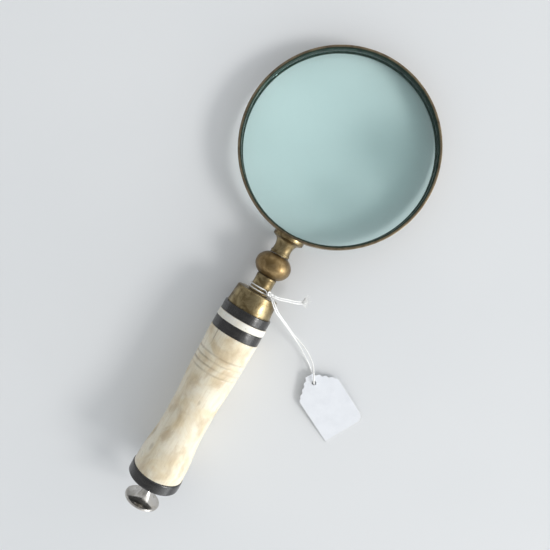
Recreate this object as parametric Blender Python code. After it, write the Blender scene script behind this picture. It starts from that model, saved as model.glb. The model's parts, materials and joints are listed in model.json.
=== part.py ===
"""Hand magnifying glass: brass-rimmed lens on a turned neck, bone and horn handle, strung card tag.

Metres, +Z up, standing surface at z = 0. The handle runs along Y with the lens towards +Y. Every
rigid piece is placed along the handle's axis by its station, the distance from the lens's centre
towards the handle's end. The whole glass leans on the rim's far edge and on its widest ring.
"""
import math

import bmesh
import bpy
from mathutils import Matrix, Vector

MM = 0.001
GAP = 0.3 * MM                      # room left between touching pieces

# Rim and lens, which share the lens's centre and its upright axis
LENS_RADIUS = 50.0 * MM
LENS_EDGE = 3.0 * MM                # thickness of the glass at its edge
LENS_CURVE = 300.0 * MM             # radius of both polished faces
RIM_RADIUS = 51.45 * MM
RIM_HALF = 4.5 * MM                 # half of the rim's height
RIM_SEAT = LENS_RADIUS + GAP        # bore that holds the glass
RIM_LIP = 49.6 * MM                 # opening of the front lip
RIM_BEVEL = 0.3 * MM
RING_THICK = 1.0 * MM               # spring ring behind the glass
RING_DEPTH = 1.55 * MM
RING_GROOVE = 0.45 * MM             # depth of its groove in the rim
RING_DROP = 0.5 * MM                # from the glass's edge down to the spring ring
RING_SPLIT = math.radians(9)

# Threaded parts inside
ROD_RADIUS = 1.45 * MM
BORE_RADIUS = ROD_RADIUS + GAP
SCREW_RADIUS = 1.2 * MM
SCREW_HEAD = 1.6 * MM
SCREW_END = 57.0 * MM               # stations of the screw's and the rod's ends
ROD_ENDS = (59.0 * MM, 206.6 * MM)
THREAD_END = 0.4 * MM               # room beyond a threaded end
ROD_ROOM = 0.8 * MM                 # room beyond the rod's end in the finial

# Stations along the handle: where each piece starts, and where the last one ends
NECK_TOP = RIM_RADIUS + GAP
NECK_WAIST = 58.0 * MM              # where the neck is narrowest
BALL_TOP = 62.0 * MM
SLEEVE_TOP = 74.5 * MM
FERRULE_TOP = 84.1 * MM
UPPER_RING_TOP = 94.4 * MM
SPACER_TOP = 99.45 * MM
LOWER_RING_TOP = 103.3 * MM
HANDLE_TOP = 108.9 * MM
END_RING_TOP = 191.2 * MM
WASHER_TOP = 197.2 * MM
FINIAL_TOP = 198.2 * MM
FINIAL_EDGE = 209.1 * MM            # front of the finial's disc
FINIAL_TIP = 212.3 * MM

# Turned radii
FLANGE_RADIUS = 8.4 * MM
FLANGE_THICK = 1.1 * MM
NECK_RADIUS = 4.75 * MM
NECK_FLARE = (2.3 * MM, 4.4 * MM)   # how far the neck spreads towards its flange, and its length
NECK_FOOT = 0.6 * MM                # how far it spreads towards the ball
SLEEVE_RADIUS = 5.4 * MM
BALL_RADIUS = 9.7 * MM
FERRULE_RADII = (11.4 * MM, 12.4 * MM)
FERRULE_WALL = 1.2 * MM
FERRULE_FLOOR = 2.0 * MM            # thickness of the cup's closed end
RING_RADII = {"upper": 13.2 * MM, "spacer": 13.53 * MM, "lower": 13.43 * MM, "end": 14.35 * MM}
CORE_RADIUS = 8.0 * MM
HANDLE_BORE = CORE_RADIUS + GAP
WASHER_RADIUS = 4.2 * MM
FINIAL_STEM = 2.5 * MM
FINIAL_RADIUS = 9.65 * MM
DISC_THICK = 1.0 * MM

# Bone sleeve: swell of its outside as (station, radius), and its four engraved lines
HANDLE_SHAPE = [(109.05, 13.55), (114.2, 13.45), (137.0, 12.85), (143.3, 12.45), (148.5, 12.15),
                (153.9, 11.97), (160.5, 11.9), (167.2, 12.0), (171.2, 12.3), (175.2, 12.75),
                (179.7, 13.3), (184.2, 13.7), (191.05, 13.88)]
LINE_STATIONS = [121.0, 124.2, 127.4, 130.3]
LINE_RADIUS = 13.3                  # at the first line
LINE_TAPER = 0.018                  # less radius for each millimetre further on
LINE_WIDTH = 0.9
LINE_DEPTH = 0.35

# Strung card tag
STRING = 0.7 * MM                   # diameter of the cotton string
TURN_STATIONS = (81.0 * MM, 82.8 * MM)
KNOT_ANGLE = math.radians(46)       # round the sleeve, from straight up towards +X
KNOT_SIZE = (1.7 * MM, 1.2 * MM)
TAG_HALF = 12.5 * MM
TAG_THICK = 0.35 * MM
TAG_HOLE = 1.3 * MM
TAG_ABOVE = 5.1 * MM                # card beyond the hole, towards the string
TAG_BELOW = 32.4 * MM
TAG_LIFT = 2.6 * MM                 # height of the card at its hole
TAG_PLACE = (50.4 * MM, -33.5 * MM)
TAG_TURN = math.radians(-28.3)

SEGMENTS = 40
RIM_SEGMENTS = 80


def clear_scene():
    for old in list(bpy.data.objects):
        bpy.data.objects.remove(old, do_unlink=True)


def material(name, colour, metallic=0.0, roughness=0.4, transmission=0.0):
    made = bpy.data.materials.new(name)
    made.use_nodes = True
    shader = made.node_tree.nodes["Principled BSDF"]
    shader.inputs["Base Color"].default_value = (*colour, 1.0)
    shader.inputs["Metallic"].default_value = metallic
    shader.inputs["Roughness"].default_value = roughness
    shader.inputs["Transmission Weight"].default_value = transmission
    return made


def link(name, mesh, look, parent=None):
    """Puts a mesh in the scene as one smooth-shaded object."""
    mesh.materials.append(look)
    mesh.shade_smooth()
    mesh.set_sharp_from_angle(angle=math.radians(32))
    placed = bpy.data.objects.new(name, mesh)
    bpy.context.collection.objects.link(placed)
    placed.parent = parent
    return placed


def lathe(name, profile, look, parent, segments=SEGMENTS, opening=0.0):
    """Turns a closed outline of (radius, height) points round Z. An opening, as an angle, leaves
    a split in the ring."""
    shape = bmesh.new()
    points = [shape.verts.new((radius, 0.0, height)) for radius, height in profile]
    edges = [shape.edges.new((points[i - 1], points[i])) for i in range(len(points))]
    bmesh.ops.spin(shape, geom=points + edges, axis=(0, 0, 1), cent=(0, 0, 0),
                   angle=2 * math.pi - opening, steps=segments, use_merge=opening == 0)
    bmesh.ops.remove_doubles(shape, verts=shape.verts, dist=1e-7)
    loose = [edge for edge in shape.edges if not edge.link_faces]
    bmesh.ops.delete(shape, geom=loose, context="EDGES")
    if opening:
        ends = [edge for edge in shape.edges if edge.is_boundary]
        bmesh.ops.holes_fill(shape, edges=ends, sides=0)
    bmesh.ops.recalc_face_normals(shape, faces=shape.faces)
    mesh = bpy.data.meshes.new(name)
    shape.to_mesh(mesh)
    shape.free()
    return link(name, mesh, look, parent)


def turned(name, station, outline, look, parent, segments=SEGMENTS):
    """A turned piece on the handle's axis. Its outline is (radius, station) points, and its own
    origin lies on the axis where it starts, with its Z pointing to the handle's end."""
    profile = [(radius, place - station) for radius, place in outline]
    piece = lathe(name, profile, look, parent, segments)
    piece.location = (0.0, -station, 0.0)
    piece.rotation_euler = (math.radians(90), 0.0, 0.0)
    return piece


def ring_outline(start, end, outside, inside, bevel=0.25 * MM):
    """A plain ring with its two outer edges broken."""
    return [(inside, start), (outside - bevel, start), (outside, start + bevel),
            (outside, end - bevel), (outside - bevel, end), (inside, end)]


def arc(centre, size, start, end, steps):
    """Points of an ellipse's arc as (radius, place), with angles in degrees from +radius."""
    turns = [math.radians(start + (end - start) * i / steps) for i in range(steps + 1)]
    return [(centre[0] + size[0] * math.cos(t), centre[1] + size[1] * math.sin(t)) for t in turns]


def cutter(target, tool):
    """Cuts a guide object out of a piece."""
    tool.hide_render = True
    tool.display_type = "WIRE"
    cut = target.modifiers.new(tool.name, "BOOLEAN")
    cut.operation = "DIFFERENCE"
    cut.solver = "EXACT"
    cut.object = tool


def rim_outline():
    groove_top = GAP - LENS_EDGE / 2 - RING_DROP
    groove_bottom = -(LENS_EDGE / 2 + RING_DROP + RING_THICK + GAP)
    shoulder = LENS_EDGE / 2 + GAP
    return [(RIM_RADIUS - RIM_BEVEL, RIM_HALF), (RIM_RADIUS, RIM_HALF - RIM_BEVEL),
            (RIM_RADIUS, RIM_BEVEL - RIM_HALF), (RIM_RADIUS - RIM_BEVEL, -RIM_HALF),
            (RIM_SEAT, -RIM_HALF), (RIM_SEAT, groove_bottom),
            (RIM_SEAT + RING_GROOVE, groove_bottom), (RIM_SEAT + RING_GROOVE, groove_top),
            (RIM_SEAT, groove_top), (RIM_SEAT, shoulder), (RIM_LIP, shoulder),
            (RIM_LIP, RIM_HALF - RIM_BEVEL), (RIM_LIP + RIM_BEVEL, RIM_HALF)]


def lens_outline(steps=4):
    """Half of the glass's section: two polished arcs and a ground edge."""
    def face(radius):
        return math.sqrt(LENS_CURVE ** 2 - radius ** 2) - math.sqrt(LENS_CURVE ** 2 - LENS_RADIUS ** 2)
    radii = [LENS_RADIUS * i / steps for i in range(steps + 1)]
    top = [(radius, LENS_EDGE / 2 + face(radius)) for radius in radii]
    return top + [(radius, -height) for radius, height in reversed(top)]


def screw_outline(clearance=0.0):
    """Countersunk head and shank, as (radius, station)."""
    face = RIM_SEAT + 0.05 * MM
    start = face - 3 * clearance
    end = SCREW_END + clearance
    head = SCREW_HEAD + clearance
    shank = SCREW_RADIUS + clearance
    cone = face + 0.2 * MM
    return [(0.0, start), (head, start), (head, cone), (shank, cone + head - shank),
            (shank, end), (0.0, end)]


def build_head(looks, axis):
    """Rim, glass, the spring ring behind it and the screw that holds the neck."""
    rim = lathe("rim_band", rim_outline(), looks["rim"], axis, RIM_SEGMENTS)
    lathe("lens", lens_outline(), looks["glass"], axis, RIM_SEGMENTS)
    outside = RIM_SEAT + RING_GROOVE - GAP
    ring_top = -(LENS_EDGE / 2 + RING_DROP)
    ring = [(outside, ring_top), (outside, ring_top - RING_THICK),
            (outside - RING_DEPTH, ring_top - RING_THICK), (outside - RING_DEPTH, ring_top)]
    spring = lathe("lens_spring_ring", ring, looks["rim"], axis, RIM_SEGMENTS, RING_SPLIT)
    spring.rotation_euler.z = RING_SPLIT / 2 - math.pi / 2
    turned("neck_screw", RIM_SEAT, screw_outline(), looks["steel"], axis, 24)
    hole = turned("screw_hole", RIM_SEAT, screw_outline(GAP), looks["steel"], axis, 24)
    cutter(rim, hole)


def build_neck(looks, axis):
    """Flanged neck, ball and sleeve, threaded in a row on the tie rod."""
    flange_top = NECK_TOP - 2 * MM
    flange_end = NECK_TOP + FLANGE_THICK
    bevel = 0.25 * MM
    neck_end = BALL_TOP - GAP / 2
    flare = arc((NECK_RADIUS + NECK_FLARE[0], NECK_WAIST), NECK_FLARE, -90, -180, 6)
    foot = [(NECK_RADIUS + NECK_FOOT / 4, NECK_WAIST + 1.4 * MM), (NECK_RADIUS + NECK_FOOT, neck_end)]
    tapped = SCREW_RADIUS + GAP
    tapped_end = SCREW_END + THREAD_END
    rod_bore = ROD_ENDS[0] - GAP
    outline = [(tapped, flange_top), (FLANGE_RADIUS, flange_top),
               (FLANGE_RADIUS, flange_end - bevel), (FLANGE_RADIUS - bevel, flange_end)]
    outline += flare + foot
    outline += [(BORE_RADIUS, neck_end), (BORE_RADIUS, rod_bore), (0.0, rod_bore),
                (0.0, tapped_end), (tapped, tapped_end)]
    neck = turned("neck_stem", NECK_TOP, outline, looks["brass"], axis)
    saddle = lathe("rim_saddle", [(0.0, 2 * FLANGE_RADIUS), (NECK_TOP, 2 * FLANGE_RADIUS),
                                  (NECK_TOP, -2 * FLANGE_RADIUS), (0.0, -2 * FLANGE_RADIUS)],
                   looks["brass"], axis, 2 * RIM_SEGMENTS)
    cutter(neck, saddle)

    start = BALL_TOP + GAP / 2
    end = SLEEVE_TOP - GAP / 2
    middle = (start + end) / 2
    reach = math.degrees(math.acos(SLEEVE_RADIUS / BALL_RADIUS))
    half = (end - start) / 2 / math.sin(math.radians(reach))
    ball = arc((0.0, middle), (BALL_RADIUS, half), -reach, reach, 12)
    turned("neck_ball", start, [(BORE_RADIUS, start)] + ball + [(BORE_RADIUS, end)],
           looks["ball"], axis)

    start = SLEEVE_TOP + GAP / 2
    end = FERRULE_TOP - GAP / 2
    sleeve = ring_outline(start, end, SLEEVE_RADIUS, BORE_RADIUS, 0.15 * MM)
    turned("neck_sleeve", start, sleeve, looks["brass"], axis)


def build_ferrule_and_rings(looks, axis):
    """Brass cup and the horn and bone rings under it, all round the wooden core."""
    start = FERRULE_TOP + GAP / 2
    end = UPPER_RING_TOP - GAP / 2
    inside = start + FERRULE_FLOOR
    top, bottom = FERRULE_RADII
    soft = 0.7 * MM
    shoulder = arc((top - soft, start + soft), (soft, soft), -90, 0, 3)
    cup = [(BORE_RADIUS, start)] + shoulder
    cup += [(bottom, end), (bottom - FERRULE_WALL, end), (top - FERRULE_WALL, inside),
            (BORE_RADIUS, inside)]
    turned("ferrule", start, cup, looks["brass"], axis)
    rings = [("upper_horn_ring", UPPER_RING_TOP, SPACER_TOP, "upper", "horn"),
             ("bone_spacer_ring", SPACER_TOP, LOWER_RING_TOP, "spacer", "spacer"),
             ("lower_horn_ring", LOWER_RING_TOP, HANDLE_TOP, "lower", "horn")]
    for name, begin, finish, size, look in rings:
        start = begin + GAP / 2
        outline = ring_outline(start, finish - GAP / 2, RING_RADII[size], HANDLE_BORE)
        turned(name, start, outline, looks[look], axis)


def handle_outline():
    """Outside of the bone sleeve with its engraved lines, and its straight bore."""
    half = LINE_WIDTH / 2
    outside = list(HANDLE_SHAPE)
    for station in LINE_STATIONS:
        radius = LINE_RADIUS - LINE_TAPER * (station - LINE_STATIONS[0])
        outside += [(station - half, radius), (station, radius - LINE_DEPTH),
                    (station + half, radius)]
    outside.sort()
    outline = [(radius * MM, station * MM) for station, radius in outside]
    return [(HANDLE_BORE, outline[0][1])] + outline + [(HANDLE_BORE, outline[-1][1])]


def build_handle(looks, axis):
    """Bone sleeve, its wooden core, the end ring, the tie rod and the finial that clamps them."""
    outline = handle_outline()
    turned("bone_handle", outline[0][1], outline, looks["bone"], axis)
    start = FERRULE_TOP + GAP / 2 + FERRULE_FLOOR + GAP
    end = END_RING_TOP - GAP / 2
    core = [(BORE_RADIUS, start), (CORE_RADIUS, start), (CORE_RADIUS, end), (BORE_RADIUS, end)]
    turned("handle_core", start, core, looks["wood"], axis, 32)
    start = END_RING_TOP + GAP / 2
    disc = ring_outline(start, WASHER_TOP - GAP, RING_RADII["end"], BORE_RADIUS, 0.4 * MM)
    turned("end_horn_ring", start, disc, looks["horn"], axis)
    end = FINIAL_TOP - GAP
    washer = ring_outline(WASHER_TOP, end, WASHER_RADIUS, BORE_RADIUS, 0.1 * MM)
    turned("finial_washer", WASHER_TOP, washer, looks["nickel"], axis, 32)
    start, end = ROD_ENDS
    rod = [(0.0, start), (ROD_RADIUS, start), (ROD_RADIUS, end), (0.0, end)]
    turned("tie_rod", start, rod, looks["steel"], axis, 24)
    build_finial(looks, axis)


def build_finial(looks, axis):
    """Mushroom nut: a stem that flares into a thin disc with a low domed end."""
    start = FINIAL_TOP
    flare_start = start + 1.6 * MM
    spread = (FINIAL_RADIUS - FINIAL_STEM, FINIAL_EDGE - flare_start)
    flare = arc((FINIAL_RADIUS, flare_start), spread, 180, 90, 9)
    edge_end = FINIAL_EDGE + DISC_THICK
    dome = FINIAL_TIP - edge_end
    curve = (FINIAL_RADIUS ** 2 + dome ** 2) / (2 * dome)
    steps = 6
    crown = []
    for i in range(steps + 1):
        radius = FINIAL_RADIUS * (1 - i / steps)
        crown.append((radius, FINIAL_TIP - curve + math.sqrt(curve ** 2 - radius ** 2)))
    bore_end = ROD_ENDS[1] + ROD_ROOM
    outline = [(BORE_RADIUS, start), (FINIAL_STEM, start)] + flare + crown
    outline += [(0.0, bore_end), (BORE_RADIUS, bore_end)]
    turned("finial", start, outline, looks["nickel"], axis)


def smooth_points(route, spacing):
    """Points at an even spacing on the smooth curve through a route's own points."""
    ends = [2 * route[0] - route[1]] + route + [2 * route[-1] - route[-2]]
    fine = []
    for a, b, c, d in zip(ends, ends[1:], ends[2:], ends[3:]):
        for t in (i / 24 for i in range(24)):
            fine.append(0.5 * (2 * b + (c - a) * t + (2 * a - 5 * b + 4 * c - d) * t ** 2
                               + (3 * b - a - 3 * c + d) * t ** 3))
    fine.append(route[-1])
    total = sum((b - a).length for a, b in zip(fine, fine[1:]))
    count = max(2, round(total / spacing))
    points = [fine[0]]
    walked = 0.0
    for a, b in zip(fine, fine[1:]):
        step = (b - a).length
        while len(points) < count and walked + step >= total * len(points) / count:
            points.append(a.lerp(b, (total * len(points) / count - walked) / step))
        walked += step
    return points + [fine[-1]]


def cord(name, route, diameter, look):
    """A round tube with filled ends along a route."""
    curve = bpy.data.curves.new(name, "CURVE")
    curve.dimensions = "3D"
    curve.bevel_depth = diameter / 2
    curve.bevel_resolution = 2
    curve.use_fill_caps = True
    points = smooth_points([Vector(place) * MM for place in route], 2.4 * diameter)
    spline = curve.splines.new("POLY")
    spline.points.add(len(points) - 1)
    for target, place in zip(spline.points, points):
        target.co = (*place, 1.0)
    curve.materials.append(look)
    tube = bpy.data.objects.new(name, curve)
    bpy.context.collection.objects.link(tube)
    return tube


# The string's route, in millimetres: from the knot over the card, down through its hole and back
LOOP_ROUTE = [(7.1, -2.4, 18.5), (8.7, -2.6, 19.5), (10.3, -3.6, 20.2), (11.8, -5.1, 19.3),
              (14.1, -7.1, 16.5), (16.9, -9.1, 13.3), (21.8, -12.0, 9.2), (26.9, -14.8, 6.7),
              (33.6, -17.4, 5.3), (39.4, -20.4, 4.8), (44.1, -24.0, 4.6), (47.1, -27.9, 4.5),
              (48.8, -30.9, 4.4), (50.1, -33.0, 3.9), (50.65, -33.9, 2.65), (50.0, -33.1, 1.2),
              (48.2, -31.0, 0.75), (45.6, -28.4, 0.75), (42.4, -25.7, 1.0), (38.4, -22.9, 2.1),
              (33.0, -19.0, 4.2), (26.7, -15.4, 7.4), (21.3, -12.4, 10.1), (16.4, -9.5, 14.2),
              (13.5, -7.7, 17.8), (11.0, -5.4, 20.8), (9.4, -3.8, 21.5), (7.9, -2.5, 20.8),
              (6.5, -2.0, 19.2)]
TAIL_ROUTE = [(7.55, -1.0, 17.75), (11.0, -0.7, 16.8), (15.0, 0.3, 15.0), (18.9, 1.2, 13.1),
              (21.6, 2.2, 11.7), (23.4, 3.4, 10.6)]


def build_string(looks, axis):
    """Two turns round the sleeve, the knot on them, the loop through the tag and the tail."""
    radius = SLEEVE_RADIUS + GAP + STRING / 2
    for number, station in enumerate(TURN_STATIONS, start=1):
        section = arc((radius, station), (STRING / 2, STRING / 2), 0, 300, 5)
        turned(f"string_turn_{number}", station, section, looks["cotton"], axis, 24)
    wide, tall = KNOT_SIZE
    lump = arc((0.0, 0.0), (wide, tall), 90, -90, 8)
    knot = lathe("string_knot", lump, looks["cotton"], axis, 16)
    reach = radius + STRING / 2 + GAP + tall
    middle = sum(TURN_STATIONS) / 2
    knot.rotation_euler.y = KNOT_ANGLE
    knot.location = (reach * math.sin(KNOT_ANGLE), -middle, reach * math.cos(KNOT_ANGLE))
    cord("string_loop", LOOP_ROUTE, STRING, looks["cotton"])
    cord("string_tail", TAIL_ROUTE, 1.9 * STRING, looks["cotton"])


def tag_outline():
    """Card with a narrow top, scalloped shoulders and one worn bottom corner, hole at the origin."""
    side = [(2.3, -TAG_ABOVE / MM), (3.9, -3.3), (6.4, -1.3), (8.3, 0.4), (9.1, 1.6),
            (11.0, 2.3), (12.5, 4.4)]
    left = [(-across, along) for across, along in reversed(side)]
    worn = arc((TAG_HALF / MM - 4.0, TAG_BELOW / MM - 4.0), (4.0, 4.0), 0, 90, 4)
    corner = [(-TAG_HALF / MM, TAG_BELOW / MM)]
    return [(along * MM, across * MM) for across, along in side + worn + corner + left]


def build_tag(looks):
    """The card lies on its bottom edge, with its hole end held up by the string."""
    shape = bmesh.new()
    face = shape.faces.new([shape.verts.new((x, y, -TAG_THICK / 2)) for x, y in tag_outline()])
    solid = bmesh.ops.extrude_face_region(shape, geom=[face])
    top = [item for item in solid["geom"] if isinstance(item, bmesh.types.BMVert)]
    bmesh.ops.translate(shape, verts=top, vec=(0, 0, TAG_THICK))
    bmesh.ops.recalc_face_normals(shape, faces=shape.faces)
    mesh = bpy.data.meshes.new("tag_card")
    shape.to_mesh(mesh)
    shape.free()
    tag = link("tag_card", mesh, looks["card"])
    slope = math.asin((TAG_LIFT - TAG_THICK / 2) / TAG_BELOW)
    turn = Matrix.Rotation(TAG_TURN, 4, "Z") @ Matrix.Rotation(slope, 4, "Y")
    clear = 0.05 * MM
    tag.matrix_world = Matrix.Translation((*TAG_PLACE, TAG_LIFT + clear)) @ turn
    drill = lathe("tag_punch", [(0.0, MM), (TAG_HOLE, MM), (TAG_HOLE, -MM), (0.0, -MM)],
                  looks["card"], None, 20)
    drill.matrix_world = tag.matrix_world
    cutter(tag, drill)


def resting_axis():
    """Empty on the lens's centre, with Y along the handle, tilted so that the rim's far edge and
    the bone ring's edge both meet the surface. Its place centres the glass over the origin."""
    rim_edges = [(RIM_RADIUS, RIM_HALF - RIM_BEVEL), (RIM_RADIUS - RIM_BEVEL, RIM_HALF)]
    bevel = 0.25 * MM
    ring_edges = [(station + GAP / 2 + bevel, RING_RADII[size]) for station, size in
                  ((UPPER_RING_TOP, "upper"), (SPACER_TOP, "spacer"), (LOWER_RING_TOP, "lower"))]
    slope = 0.0
    for _ in range(4):
        reach, low = max(rim_edges, key=lambda edge: edge[1] + slope * edge[0])
        station, radius = max(ring_edges, key=lambda edge: edge[1] - slope * edge[0])
        slope = (radius - low) / (station + reach)
    tilt = math.atan(slope)
    height = reach * math.sin(tilt) + low * math.cos(tilt)
    front = max(edge[0] * math.cos(tilt) + edge[1] * math.sin(tilt) for edge in rim_edges)
    back = FINIAL_TIP * math.cos(tilt)
    axis = bpy.data.objects.new("handle_axis", None)
    axis.location = (0.0, (back - front) / 2, height)
    axis.rotation_euler = (-tilt, 0.0, 0.0)
    bpy.context.collection.objects.link(axis)
    return axis


def main():
    clear_scene()
    looks = {"rim": material("rim_brass", (0.30, 0.22, 0.13), 1.0, 0.32),
             "brass": material("neck_brass", (0.50, 0.41, 0.22), 1.0, 0.3),
             "ball": material("ball_brass", (0.45, 0.31, 0.16), 1.0, 0.34),
             "glass": material("lens_glass", (0.62, 0.85, 0.83), 0.0, 0.02, 0.9),
             "bone": material("handle_bone", (0.84, 0.79, 0.66), 0.0, 0.35),
             "spacer": material("spacer_bone", (0.88, 0.86, 0.78), 0.0, 0.35),
             "horn": material("black_horn", (0.035, 0.035, 0.04), 0.0, 0.3),
             "wood": material("core_wood", (0.45, 0.30, 0.17), 0.0, 0.7),
             "nickel": material("finial_nickel", (0.60, 0.58, 0.56), 1.0, 0.12),
             "steel": material("rod_steel", (0.42, 0.42, 0.43), 1.0, 0.4),
             "cotton": material("string_cotton", (0.90, 0.90, 0.88), 0.0, 0.9),
             "card": material("tag_card", (0.90, 0.91, 0.93), 0.0, 0.8)}
    axis = resting_axis()
    build_head(looks, axis)
    build_neck(looks, axis)
    build_ferrule_and_rings(looks, axis)
    build_handle(looks, axis)
    build_string(looks, axis)
    build_tag(looks)


main()
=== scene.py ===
"""Looks of the hand magnifying glass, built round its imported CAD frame.

Metres, in the part's own frame. The turned pieces are rebuilt finer than their CAD nodes. Each is
drawn as (radius, station) points, where a station is the distance from the lens's centre towards
the handle's end, and is placed by the handle's axis, which is read from the frame. On a turned
piece's own axes, X points to the part's +X, Y points up and Z points to the handle's end.
"""
import json
import math

import bmesh
import bpy
from mathutils import Matrix, Vector, noise


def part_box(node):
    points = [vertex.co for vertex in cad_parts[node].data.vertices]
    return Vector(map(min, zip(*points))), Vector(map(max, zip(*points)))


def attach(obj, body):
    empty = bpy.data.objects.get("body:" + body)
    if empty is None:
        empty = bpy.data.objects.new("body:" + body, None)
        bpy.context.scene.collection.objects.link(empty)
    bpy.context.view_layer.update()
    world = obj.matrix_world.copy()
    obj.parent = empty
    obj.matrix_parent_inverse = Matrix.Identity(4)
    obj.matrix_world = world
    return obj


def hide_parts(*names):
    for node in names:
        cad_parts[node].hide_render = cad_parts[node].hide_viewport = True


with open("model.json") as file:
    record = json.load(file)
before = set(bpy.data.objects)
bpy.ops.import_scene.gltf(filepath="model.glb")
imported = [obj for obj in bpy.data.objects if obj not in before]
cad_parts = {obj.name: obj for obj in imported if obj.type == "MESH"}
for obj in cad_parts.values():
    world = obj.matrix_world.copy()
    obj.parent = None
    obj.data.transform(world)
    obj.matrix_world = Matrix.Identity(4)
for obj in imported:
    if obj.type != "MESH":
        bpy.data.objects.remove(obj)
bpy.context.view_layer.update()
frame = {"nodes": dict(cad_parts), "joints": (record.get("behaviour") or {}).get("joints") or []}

MM = 0.001
SEAM = 0.05 * MM                    # fine gap left between two pieces on the handle
TURN = 2 * math.pi
PITCH = 0.5 * MM                    # of the rod's and the screw's threads
RING_BORE = 6.0 * MM                # radius inside the rings over the wooden core

# Camera and light
CAMERA_PLACE = Vector((0.00658, 0.03356, 0.26121))
CAMERA_TARGET = Vector((0.0030, 0.0072, 0.0))
CAMERA_UP = Vector((-0.49232, 0.86664, -0.08089))
CAMERA_LENS = 31.65
WINDOW_WAY = Vector((0.8569, 0.0901, 0.5075))  # towards the middle of the window
WINDOW_FAR = 2.2
WINDOW_WIDE = 0.8
WINDOW_TALL = 0.45
WINDOW_POWER = 20.8
ROOM_LEFT, ROOM_RIGHT = 0.4, 3.2    # the room's light from low down on each side
ROOM_TOP = 0.38                     # and from overhead
# Where the lens lets more or less light through to the floor, as (place from its middle, reach,
# share at the place), in millimetres
LENS_LIGHT = [((-22, 12, 0), 34, 1.12), ((37, 14, 0), 29, 0.3), ((27, -20, 0), 24, 0.62),
              ((-6, 42, 0), 22, 1.15)]

# String: diameter, lay of its three plies, and its route in millimetres from the knot to the tag
# and back, and from the knot to the tail's end
STRING = 0.7 * MM
PLIES = 3
LAY_LENGTH = 2.6 * MM
FIBRES = 46                         # loose fibres at each cut end
FIBRE = 0.17 * MM                   # and their diameter
GOLDEN_TURN = 2.399963              # spreads them evenly over the end, in radians
LOOP_ROUTE = [(7.1, -2.4, 18.5), (8.7, -2.6, 19.5), (10.3, -3.6, 20.2), (11.8, -5.1, 19.3),
              (14.1, -7.1, 16.5), (16.9, -9.1, 13.3), (21.8, -12.0, 9.2), (26.9, -14.8, 6.7),
              (33.6, -17.4, 5.3), (39.4, -20.4, 4.8), (44.1, -24.0, 4.6), (47.1, -27.9, 4.5),
              (48.8, -30.9, 4.4), (50.1, -33.0, 3.9), (50.65, -33.9, 2.65), (50.0, -33.1, 1.2),
              (48.2, -31.0, 0.75), (45.6, -28.4, 0.75), (42.4, -25.7, 1.0), (38.4, -22.9, 2.1),
              (33.0, -19.0, 4.2), (26.7, -15.4, 7.4), (21.3, -12.4, 10.1), (16.4, -9.5, 14.2),
              (13.5, -7.7, 17.8), (11.0, -5.4, 20.8), (9.4, -3.8, 21.5), (7.9, -2.5, 20.8),
              (6.5, -2.0, 19.2)]
TAIL_ROUTE = [(7.55, -1.0, 17.75), (11.0, -0.7, 16.8), (15.0, 0.3, 15.0), (18.9, 1.2, 13.1),
              (21.6, 2.2, 11.7), (23.4, 3.4, 10.6)]

# Tag, in millimetres: the middle of its hole, its turn in degrees, and its size from the hole
TAG_PLACE = (50.4, -33.5, 2.65)
TAG_TURN = -28.3
TAG_LIFT = 2.6                      # height at its hole, which sets its slope
TAG_HALF = 12.5
TAG_ABOVE = 5.1
TAG_BELOW = 32.4
TAG_THICK = 0.35
TAG_HOLE = 1.3
SCALLOPS = 3.5                      # bites along each shoulder

# ---- the frame's own places

turn_joint = next(joint for joint in frame["joints"] if joint["type"] == "hinge")
tilt = math.atan2(turn_joint["axis"][2], -turn_joint["axis"][1])
rim_low, rim_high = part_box("rim_band")
AXIS = Matrix.Translation((rim_low + rim_high) / 2) @ Matrix.Rotation(-tilt, 4, "X")
TO_AXIS = AXIS.inverted()


def axis_points(node):
    """A CAD node's points on the handle's axes: X sideways, -Y along the handle, Z up."""
    return [TO_AXIS @ vertex.co for vertex in frame["nodes"][node].data.vertices]


def extent(node):
    """Where a turned node starts and ends along the handle, and its widest radius."""
    points = axis_points(node)
    stations = [-point.y for point in points]
    return min(stations), max(stations), max(math.hypot(point.x, point.z) for point in points)


def ring_extent(node):
    """A node round the lens's upright axis: inner and outer radius, lowest and highest place."""
    points = axis_points(node)
    radii = [math.hypot(point.x, point.y) for point in points]
    return min(radii), max(radii), min(p.z for p in points), max(p.z for p in points)


# ---- materials

class Nodes:
    """Short names for the nodes of a material or of the world."""

    def __init__(self, owner):
        owner.use_nodes = True
        self.tree = owner.node_tree

    def add(self, kind, inputs, **settings):
        node = self.tree.nodes.new(kind)
        for name, value in settings.items():
            setattr(node, name, value)
        for socket, value in inputs.items():
            self.feed(node.inputs[socket], value)
        return node

    def feed(self, socket, value):
        if isinstance(value, bpy.types.NodeSocket):
            self.tree.links.new(value, socket)
        elif isinstance(value, (tuple, list)) and len(value) == 3 and socket.type == "RGBA":
            socket.default_value = (*value, 1.0)
        else:
            socket.default_value = value

    def span(self, value, low, high, to_low=0.0, to_high=1.0, kind="SMOOTHSTEP"):
        """A value's range from low to high, mapped to another range."""
        made = self.add("ShaderNodeMapRange", {"Value": value, "From Min": low, "From Max": high,
                                               "To Min": to_low, "To Max": to_high})
        made.interpolation_type = kind
        return made.outputs[0]

    def math(self, operation, one, two):
        return self.add("ShaderNodeMath", {0: one, 1: two}, operation=operation).outputs[0]


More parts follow.
